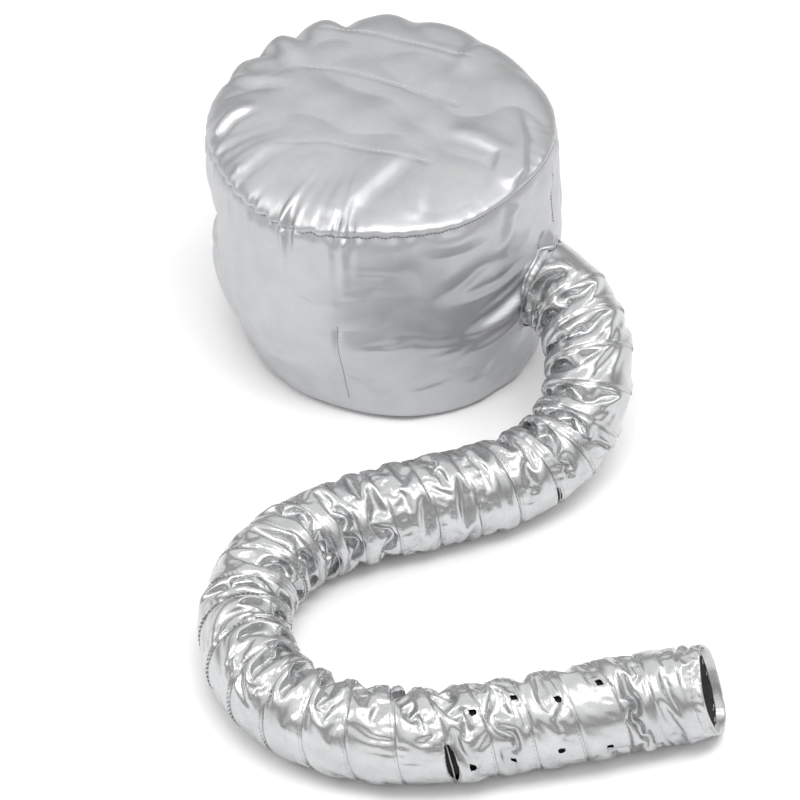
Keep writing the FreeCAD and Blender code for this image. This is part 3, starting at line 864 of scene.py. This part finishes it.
def last_row_before(tube, x, turning):
    """The last row, a whole number of turns on, whose points all lie before the joint's turning place."""
    start, end = np.array(turning)
    ahead = ((x - start) @ unit(end - start)).reshape(tube.grid.rows, -1)
    limit = tube.line.turn(tube.line.s[np.argmin(np.linalg.norm(tube.line.c - start, axis=1))])
    rows = np.arange(tube.per, int(limit + 1) * tube.per + 1, tube.per)
    return int(rows[ahead[rows].max(1) < 0.004][-1])


def open_slit(tube, x, station, low, high, gape):
    """Parts the cloth beside the wire from low to high degrees round the hose. Returns the gap's vertices."""
    near = (np.degrees(tube.angle) - (low + high) / 2 + 180) % 360 - 180
    share = np.clip(1 - (near / ((high - low) / 2)) ** 2, 0, 1)
    off = tube.grid.row - row_at(tube.line, station, tube.per)
    pushes = {0: -1, -1: -0.7, -2: -0.3, 1: 1, 2: 0.7, 3: 0.3}
    push = np.select([off == rows for rows in pushes], list(pushes.values()), 0)
    x += tube.tangent * (push * share * gape)[:, None]
    return (off == 0) & (share > 0.02)


def finish_hose(line, tube, x):
    """Adds the doubled cloth over the wire, the sewn line beside it, the slits, the vents and the mouth."""
    grid, per = tube.grid, tube.per
    faces = tube.faces()
    out = normals(x, faces)
    out *= np.sign(((x - tube.centre) * out).sum(1).mean())
    doubled = (tube.share >= 1 - CHANNEL - 0.001) & (tube.share <= 0.96)
    sewn = (grid.row % per == 0) & (tube.turn > 0.4) & (tube.turn < line.turns - 0.4)
    x += out * (0.0006 * doubled - 0.0018 * sewn)[:, None]
    # the root reaches back to the wall, which curves away on the hose's far side
    root = 0.5 + 0.5 * np.sin(tube.angle)
    x -= tube.tangent * (0.017 * root * (1 - smooth(tube.turn * PITCH, 0, 0.045)))[:, None]
    # the mouth slants: its lower edge reaches furthest, so that it faces up and to the front
    left = (line.turns - tube.turn) * PITCH
    slant = (-0.001 + 0.0165 * np.cos(tube.angle - math.radians(40))) * smooth(-left, -0.085, 0)
    x += tube.tangent * slant[:, None]
    flare = 0.0012 * np.sin(3 * tube.angle + 1) + 0.0008 * np.sin(5 * tube.angle)
    x += unit(x - tube.centre) * ((flare - 0.0010) * smooth(-left, -0.02, 0))[:, None]
    gap = open_slit(tube, x, FIRST_SLIT, 35, 100, 0.0022)
    gap |= open_slit(tube, x, SECOND_SLIT, -124, -54, 0.0034)
    vents = []
    for n in range(int(line.turn(SECOND_SLIT)) + 1, int(line.turn(LAST_VENT))):
        for k, (degrees, on) in enumerate(zip(VENT_ANGLES, VENT_TURNS)):
            turn = n + on + 0.05 * math.sin(5 * n + 3 * k)
            col = (degrees + 6 * math.sin(3 * n + 2 * k)) % 360 / 360 * grid.columns
            vents.append(((turn - col / grid.columns + 1) * per, col))
    round_step = TAU * WIRE_R / grid.columns
    inside = punch(grid, x, (STRIP / per, 0), (STRIP / grid.columns, round_step), vents, VENT_R)
    x[:, 2] = np.maximum(x[:, 2], FLOOR)
    keep = ~inside[faces].any(1) & ~(gap[faces[:, 0]] & gap[faces[:, 1]])
    return faces, keep, out


def lining_points(tube, x):
    """The hose's points moved in, clear of the deepest fold beside each of them."""
    arm = x - tube.centre
    r = np.linalg.norm(arm, axis=1)
    clear = r.reshape(tube.grid.rows, -1)
    for _ in range(CLEAR_OF):
        clear = np.minimum(clear, np.minimum(np.roll(clear, 1, 1), np.roll(clear, -1, 1)))
        tall = np.pad(clear, ((1, 1), (0, 0)), mode="edge")
        clear = np.minimum(clear, np.minimum(tall[:-2], tall[2:]))
    inner = tube.centre + arm * ((clear.ravel() - LINING_IN) / r)[:, None]
    inner[:, 2] = np.maximum(inner[:, 2], FLOOR + 0.001)
    return inner


def fold_mouth(tube, x, ring, quads):
    """The hose's points and quads, with the mouth's cloth folded in as four more rings."""
    inward, back = unit(tube.centre[ring] - x[ring]), -tube.tangent[ring]
    folds = ((0.0007, -0.0007), (0.0016, 0), (0.0020, LIP * 0.5), (0.0028, LIP))
    points = np.concatenate([x] + [x[ring] + inward * deep + back * far for deep, far in folds])
    rings = [ring] + [len(x) + k * len(ring) + np.arange(len(ring)) for k in range(len(folds))]
    for a, b in zip(rings, rings[1:]):
        quads = np.concatenate([quads, np.stack([a, np.roll(a, -1), np.roll(b, -1), b], 1)])
    return points, quads


def join(piece):
    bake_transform(piece)
    return piece


def make_hose(cloth, lining, thread, steel):
    line = Line(nurbs_line(ROUTE))
    tube, x = hose_cloth(line)
    grid, per = tube.grid, tube.per
    faces, keep, out = finish_hose(line, tube, x)
    row = grid.row[grid.quads()[:, 0]]
    first, second = (last_row_before(tube, x, turning) for turning in (MIDDLE_TURN, CUFF_TURN))
    inner = lining_points(tube, x)
    ring = tube.end_ring(tube.at_end)
    station = line.station(tube.turn)
    for part, low, high in (("upper", 0, first), ("lower", first, second), ("cuff", second, grid.rows)):
        mine = (row >= low) & (row < high)
        points, quads, lined = x, faces[mine & keep], faces[mine]
        if part == "cuff":
            points, quads = fold_mouth(tube, x, ring, quads)
            lined = lined[~np.isin(lined, ring).any(1)]
        join(mesh_piece("hose_%s_cloth" % part, points, quads, cloth))
        start, end, name = LININGS[part]
        seen = (station[lined[:, 0]] > start) & (station[lined].max(1) < min(end, line.length - LIP * 0.8))
        join(mesh_piece(name, inner, lined[seen], lining))
        rows = np.arange(max(low // per, 2), min(high // per, int(line.turns)))
        spiral = ((rows[:, None] * per - 1) * grid.columns + np.arange(grid.columns)).ravel()
        spiral = spiral[~tube.at_end[spiral]]
        join(
            stitches("hose_%s_stitches" % part, x[spiral], out[spiral], HOSE_STITCH, thread))
    for part, name, low, high in (("upper", "hose_wire_front", 0.35, first / per - 1),
                                  ("lower", "hose_wire_back", first / per - 1, second / per - 1)):
        turn = np.linspace(low, high, int((high - low) * COIL_POINTS))
        wire = wire_place(line, turn, turn % 1 * TAU, WIRE_R - COIL_IN)
        points, quads = tube_mesh(wire, COIL_R, 6)
        join(mesh_piece(name, points, quads, steel))
    # stitches round the mouth, through the folded cloth
    closed = np.r_[ring, ring[0]]
    edge = x[closed] - tube.tangent[closed] * 0.0075
    join(
        stitches("cuff_mouth_stitches", edge, unit(edge - tube.centre[closed]), MOUTH_STITCH, thread))
    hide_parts("hose_root_sleeve", "hose_upper_sleeve", "hose_middle_sleeve")
    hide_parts("hose_join_tape_1")
    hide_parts("hose_thread_upper")
    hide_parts("hose_wire_upper")
    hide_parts("hose_bend_sleeve", "hose_lower_sleeve")
    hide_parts("hose_join_tape_2")
    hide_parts("hose_thread_lower")
    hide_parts("hose_wire_lower")
    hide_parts("hose_vented_sleeve", "hose_stretch_sleeve", "cuff_shell", "cuff_elastic")
    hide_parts("cuff_lining")
    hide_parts("cuff_threads")


# ---- hood pieces ----


RAYS_ABOVE, RAYS_OUT = 0.3, 0.19      # where rays onto the crown and the wall start


def cast(tree, start, way):
    """Where rays first meet the cloth, and its normal there, turned towards the rays' start."""
    places, outs = [], []
    way = Vector(way)
    for point in start:
        place, normal, _, _ = tree.ray_cast(Vector(point), way)
        if place is not None:
            places.append(place)
            outs.append(normal if normal.dot(way) < 0 else -normal)
    return np.array(places), np.array(outs)


def up_the_wall(tree, azimuth, low, high):
    """A sewn line up the wall."""
    z = np.linspace(low, high, 60)
    a = math.radians(azimuth)
    away = np.array([math.cos(a), math.sin(a), 0])
    return cast(tree, lean(np.stack([0 * z, 0 * z, z], 1)) + away * RAYS_OUT, -away)


def on_hood(piece, *nodes):
    """Ties a piece to the hood's body, in the place of CAD nodes."""
    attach(piece, "hood")
    if nodes:
        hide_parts(*nodes)
    return piece


def make_hood(cloth, lining, bright, dark, tape):
    grid, x = crown_cloth()
    quads = grid.quads()
    x = lean(x)
    crown = on_hood(mesh_piece("crown_cloth", x, quads, cloth), "crown_panel")
    out = normals(x, quads)
    out *= np.sign(out[len(out) // 2, 2])
    holes = [(grid.rows / 2 + r * grid.rows * math.cos(a), grid.rows / 2 + r * grid.rows * math.sin(a))
             for r, count in ((0.14, 6), (0.27, 12), (0.38, 16)) for a in np.arange(count) / count * TAU + r]
    inner = x - out * LINING_GAP
    cell = 2 * CROWN_R / grid.rows
    inside = punch(grid, inner, (cell, 0), (0, cell), holes, AIR_HOLE_R)
    # the lining ends short of the rim, where the outer cloth is gathered
    seen = quads[~inside[quads].any(1) & (disc(grid)[1][quads].max(1) < 0.98)]
    piece = on_hood(mesh_piece("crown_lining", inner, seen, lining), "crown_liner")
    tree = BVHTree.FromPolygons(x.tolist(), quads.tolist())
    for n, row in enumerate(QUILT):
        path = np.concatenate([np.linspace(a, b, 40)[k > 0:] for k, (a, b) in enumerate(zip(row, row[1:]))])
        place, normal = cast(tree, np.c_[path, np.full(len(path), RAYS_ABOVE)], (0, 0, -1.0))
        piece = on_hood(
            stitches("quilt_stitches_%d" % (n + 1), place, normal, QUILT_STITCH, bright))
        if n == 0:
            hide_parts("crown_quilt_threads")

    grid, x, away = wall_cloth()
    quads = grid.quads()
    x = lean(x)
    shut = away[quads].min(1) >= WIRE_R - 0.002
    wall = on_hood(mesh_piece("wall_cloth", x, quads[shut], cloth), "wall_panel")
    out = normals(x, quads)
    out *= np.sign((out[:, :2] * x[:, :2]).sum(1).mean())
    inner = x - out * LINING_GAP
    inner[:, 2] = np.maximum(inner[:, 2], x[:, 2] + 0.0006 * (inner[:, 2] < 0.004))
    down = SEAM_Z / (grid.rows - UNDER_ROWS - 1)
    holes = [(z / down, (k + 0.5 * (n % 2)) / 16 * grid.columns)
             for n, z in enumerate((0.055, 0.095, 0.135)) for k in range(16)]
    inside = punch(grid, inner, (0, down), (TAU * SEAM_R / grid.columns, 0), holes, AIR_HOLE_R)
    seen = quads[~inside[quads].any(1) & shut]
    piece = on_hood(mesh_piece("wall_lining", inner, seen, lining), "wall_liner")
    tree = BVHTree.FromPolygons(x.tolist(), quads.tolist())
    for n, azimuth in enumerate(DARTS):
        place, normal = up_the_wall(tree, azimuth, DART_LOW, DART_HIGH)
        piece = on_hood(stitches("dart_stitches_%d" % (n + 1), place, normal, DART_STITCH, dark))
        if n == 0:
            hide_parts("dart_threads")
    place, normal = up_the_wall(tree, SIDE_SEAM, SIDE_LOW, SIDE_HIGH)
    on_hood(stitches("side_seam_stitches", place, normal, DART_STITCH, dark), "side_seam_thread")

    # crown seam: its stitches outside, and the tape that covers its edges inside
    angle = np.linspace(0, TAU, 721)
    r, z = seam(angle)
    ring = on_ring(r, angle, z)
    outward = unit(ring * (1, 1, 0) + (0, 0, 0.08))
    piece = stitches("crown_seam_stitches", lean(ring) + outward * 0.0001, outward, SEAM_STITCH, dark)
    on_hood(piece, "crown_seam_thread")
    ring, outward = ring[:-1], unit(ring[:-1] * (1, 1, 0))
    rows = [lean(ring - outward * inward + np.array([0, 0, rise])) for inward, rise in
            ((0.0048, -0.004), (0.0040, -0.004), (0.0040, 0.003), (0.0048, 0.003))]
    points, faces = np.concatenate(rows), ring_quads(len(rows), len(ring))
    on_hood(mesh_piece("crown_seam_binding", points, faces, tape), "crown_seam_tape")

    points, faces = hem_mesh()
    hem = on_hood(mesh_piece("hem_casing_cloth", lean(points), faces, cloth), "hem_casing")
    angle = np.linspace(0, TAU, 481)
    ring = on_ring(HEM_ROW_R, angle, 0 * angle + HEM_ROW_Z)
    outward = np.tile((0, 0, -1.0), (len(ring), 1))
    on_hood(stitches("hem_stitches", lean(ring), outward, HEM_STITCH, dark), "hem_thread")

    # the welt where the hose is sewn into the wall, found by rays back along the hose
    way = unit(np.array(ROUTE[1]) - np.array(ROUTE[0]))
    up = unit(np.array([0, 0, 1.0]) - way * way[2])
    side = np.cross(way, up)
    turn = np.linspace(0, TAU, 241)[:-1]
    centre = np.array(ROUTE[0]) + way * 0.12
    start = centre + (WIRE_R + 0.0008) * (np.cos(turn)[:, None] * up + np.sin(turn)[:, None] * side)
    place, normal = cast(tree, start, -way)
    place = (np.roll(place, 1, 0) + place * 2 + np.roll(place, -1, 0)) / 4
    bulk = 0.0019 + 0.0003 * ripples(81, 10, 12, 30, turn[:len(place)])
    points, faces = tube_mesh(place + way * 0.0006, bulk, 10, normal, closed=True)
    on_hood(mesh_piece("inlet_welt", points, faces, cloth), "inlet_collar")
    place, normal = (np.concatenate([values, values[:1]]) for values in (place, normal))
    on_hood(stitches("inlet_stitches", place + normal * 0.0021, normal, INLET_STITCH, dark), "inlet_thread")


# ---- materials ----


def shader(name):
    m = bpy.data.materials.new(name)
    m.use_nodes = True
    tree = m.node_tree
    return m, tree, tree.nodes["Principled BSDF"]


def node(tree, kind, inputs=None, **settings):
    n = tree.nodes.new(kind)
    for key, value in settings.items():
        setattr(n, key, value)
    for key, value in (inputs or {}).items():
        if isinstance(value, bpy.types.NodeSocket):
            tree.links.new(value, n.inputs[key])
        else:
            n.inputs[key].default_value = value
    return n


def noise(tree, place, scale, detail, roughness):
    inputs = {"Vector": place, "Scale": scale, "Detail": detail, "Roughness": roughness}
    return node(tree, "ShaderNodeTexNoise", inputs).outputs["Fac"]


def ramp(tree, source, stops):
    n = node(tree, "ShaderNodeValToRGB", {"Fac": source})
    while len(n.color_ramp.elements) < len(stops):
        n.color_ramp.elements.new(0.5)
    for element, (place, value) in zip(n.color_ramp.elements, stops):
        element.position = place
        element.color = (value, value, value, 1) if isinstance(value, float) else (*value, 1)
    return n.outputs["Color"]


def linked_bumps(tree, *bumps):
    """A chain of bumps, each a source, its strength and its distance. Returns the last one's normal."""
    normal = None
    for source, strength, distance in bumps:
        inputs = {"Height": source, "Strength": strength, "Distance": distance}
        if normal:
            inputs["Normal"] = normal
        normal = node(tree, "ShaderNodeBump", inputs).outputs["Normal"]
    return normal


def coated_cloth(name, dark, light, smoothest, roughest, creased, uneven):
    """Silver-coated taffeta: a thin metal film on a plain weave, dulled in patches and finely creased."""
    m, tree, bsdf = shader(name)
    place = node(tree, "ShaderNodeTexCoord").outputs["Object"]
    patches = noise(tree, place, 42.0, 3.0, 0.6)
    fine = noise(tree, place, 330.0, 4.0, 0.65)
    creases = node(tree, "ShaderNodeTexVoronoi", {"Vector": place, "Scale": 120.0, "Randomness": 1.0},
                   feature="DISTANCE_TO_EDGE")
    tree.links.new(ramp(tree, patches, ((0.3, dark), (0.7, light))), bsdf.inputs["Base Color"])
    rough = node(tree, "ShaderNodeMapRange", {"Value": fine, "From Min": 0.3, "From Max": 0.7,
                                              "To Min": smoothest, "To Max": roughest})
    tree.links.new(rough.outputs["Result"], bsdf.inputs["Roughness"])
    bsdf.inputs["Metallic"].default_value = 0.88
    bands = {"Vector": place, "Scale": 780.0, "Distortion": 0.6, "Detail": 0.0}
    threads, *others = (node(tree, "ShaderNodeTexWave", bands, bands_direction=way).outputs["Fac"]
                        for way in ("X", "Z", "Y"))
    for other in others:
        threads = node(tree, "ShaderNodeMath", {0: threads, 1: other}, operation="ADD").outputs[0]
    edge = node(tree, "ShaderNodeMapRange", {"Value": creases.outputs["Distance"], "From Max": 0.25})
    normal = linked_bumps(tree, (patches, 0.5, uneven), (edge.outputs["Result"], 0.25, creased * 0.3),
                          (fine, 0.25, creased * 0.35), (threads, 0.12, 0.00004))
    tree.links.new(normal, bsdf.inputs["Normal"])
    return m


def plain_cloth(name, dark, light, rough, scale, metallic=0.0):
    """Uncoated cloth, thread, elastic or wire: two close tones and a fine grain."""
    m, tree, bsdf = shader(name)
    place = node(tree, "ShaderNodeTexCoord").outputs["Object"]
    grain = noise(tree, place, scale, 3.0, 0.6)
    tree.links.new(ramp(tree, grain, ((0.3, dark), (0.7, light))), bsdf.inputs["Base Color"])
    normal = linked_bumps(tree, (grain, 0.4, 0.0003))
    tree.links.new(normal, bsdf.inputs["Normal"])
    bsdf.inputs["Roughness"].default_value = rough
    bsdf.inputs["Metallic"].default_value = metallic
    return m


# ---- studio ----


def sky():
    """A studio as a gradient by height: grey near the horizon, dark above it and bright overhead."""
    world = bpy.data.worlds.new("studio")
    bpy.context.scene.world = world
    world.use_nodes = True
    tree = world.node_tree
    way = node(tree, "ShaderNodeSeparateXYZ", {0: node(tree, "ShaderNodeTexCoord").outputs["Generated"]})
    stops = ((0.0, 1.05), (0.11, 0.52), (0.34, 0.20), (0.56, 1.02), (0.72, 1.2), (0.9, 1.0))
    level = ramp(tree, way.outputs["Z"], stops)
    tree.links.new(level, tree.nodes["Background"].inputs["Color"])
    tree.nodes["Background"].inputs["Strength"].default_value = 1.0


CAMERA_LENS, CAMERA_RISE, CAMERA_AWAY, CAMERA_AIM = 189, math.radians(40), 3.57, (0.0104, -0.0986, 0)
LIGHTS = (
    # place, aimed at, width, depth, watts
    ((0.22, -0.80, 1.70), (0, -0.15, 0.1), 1.25, 0.60, 15),
    ((-1.5, -0.5, 1.3), (0, -0.2, 0.1), 0.5, 0.9, 5),
    ((1.25, 0.4, 1.35), (0, -0.2, 0.1), 0.3, 0.9, 3),
)


def studio():
    scene = bpy.context.scene
    m, tree, bsdf = shader("floor")
    bsdf.inputs["Base Color"].default_value = (0.96, 0.96, 0.965, 1)
    bsdf.inputs["Roughness"].default_value = 0.8
    corners = [(-6, -6, 0), (6, -6, 0), (6, 6, 0), (-6, 6, 0)]
    mesh_piece("floor", corners, [(0, 1, 2, 3)], m)
    sky()
    for n, (place, aim, width, depth, watts) in enumerate(LIGHTS):
        light = bpy.data.lights.new("softbox_%d" % n, "AREA")
        light.shape = "RECTANGLE"
        light.size, light.size_y, light.energy = width, depth, watts
        holder = bpy.data.objects.new(light.name, light)
        holder.location = place
        holder.rotation_euler = (Vector(aim) - Vector(place)).to_track_quat("-Z", "Y").to_euler()
        scene.collection.objects.link(holder)
    camera = bpy.data.cameras.new("camera")
    camera.lens = CAMERA_LENS
    camera.sensor_width = 36
    holder = bpy.data.objects.new("camera", camera)
    back, up = CAMERA_AWAY * math.cos(CAMERA_RISE), CAMERA_AWAY * math.sin(CAMERA_RISE)
    holder.location = Vector(CAMERA_AIM) + Vector((0, -back, up))
    holder.rotation_euler = (math.pi / 2 - CAMERA_RISE, 0, 0)
    scene.collection.objects.link(holder)
    scene.camera = holder
    scene.view_settings.view_transform = "Standard"


# ---- everything ----

studio()
SILVER = coated_cloth("silver_cloth", (0.475, 0.48, 0.49), (0.525, 0.53, 0.535), 0.40, 0.46, 0.0003, 0.0006)
HOSE_SILVER = coated_cloth("hose_cloth", (0.475, 0.48, 0.485), (0.575, 0.58, 0.585), 0.25, 0.28, 0.00003,
                           0.0004)
BLACK = plain_cloth("black_lining", (0.010, 0.010, 0.011), (0.022, 0.022, 0.024), 0.85, 900.0)
BRIGHT = plain_cloth("silver_thread", (0.56, 0.56, 0.57), (0.72, 0.72, 0.73), 0.5, 3000.0)
DARK = plain_cloth("dark_thread", (0.10, 0.10, 0.105), (0.20, 0.20, 0.21), 0.6, 3000.0)
GREY = plain_cloth("grey_thread", (0.38, 0.38, 0.385), (0.50, 0.50, 0.51), 0.55, 3000.0)
STEEL = plain_cloth("spring_wire", (0.40, 0.40, 0.41), (0.55, 0.55, 0.56), 0.35, 1500.0, 1.0)
ELASTIC = plain_cloth("elastic_band", (0.62, 0.62, 0.60), (0.78, 0.78, 0.76), 0.8, 2200.0)
TAPE = plain_cloth("seam_tape", (0.016, 0.016, 0.017), (0.035, 0.035, 0.036), 0.8, 1600.0)
make_hose(HOSE_SILVER, BLACK, GREY, STEEL)
make_hood(SILVER, BLACK, BRIGHT, DARK, TAPE)
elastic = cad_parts["hem_elastic"]
elastic.data.materials.clear()
elastic.data.materials.append(ELASTIC)
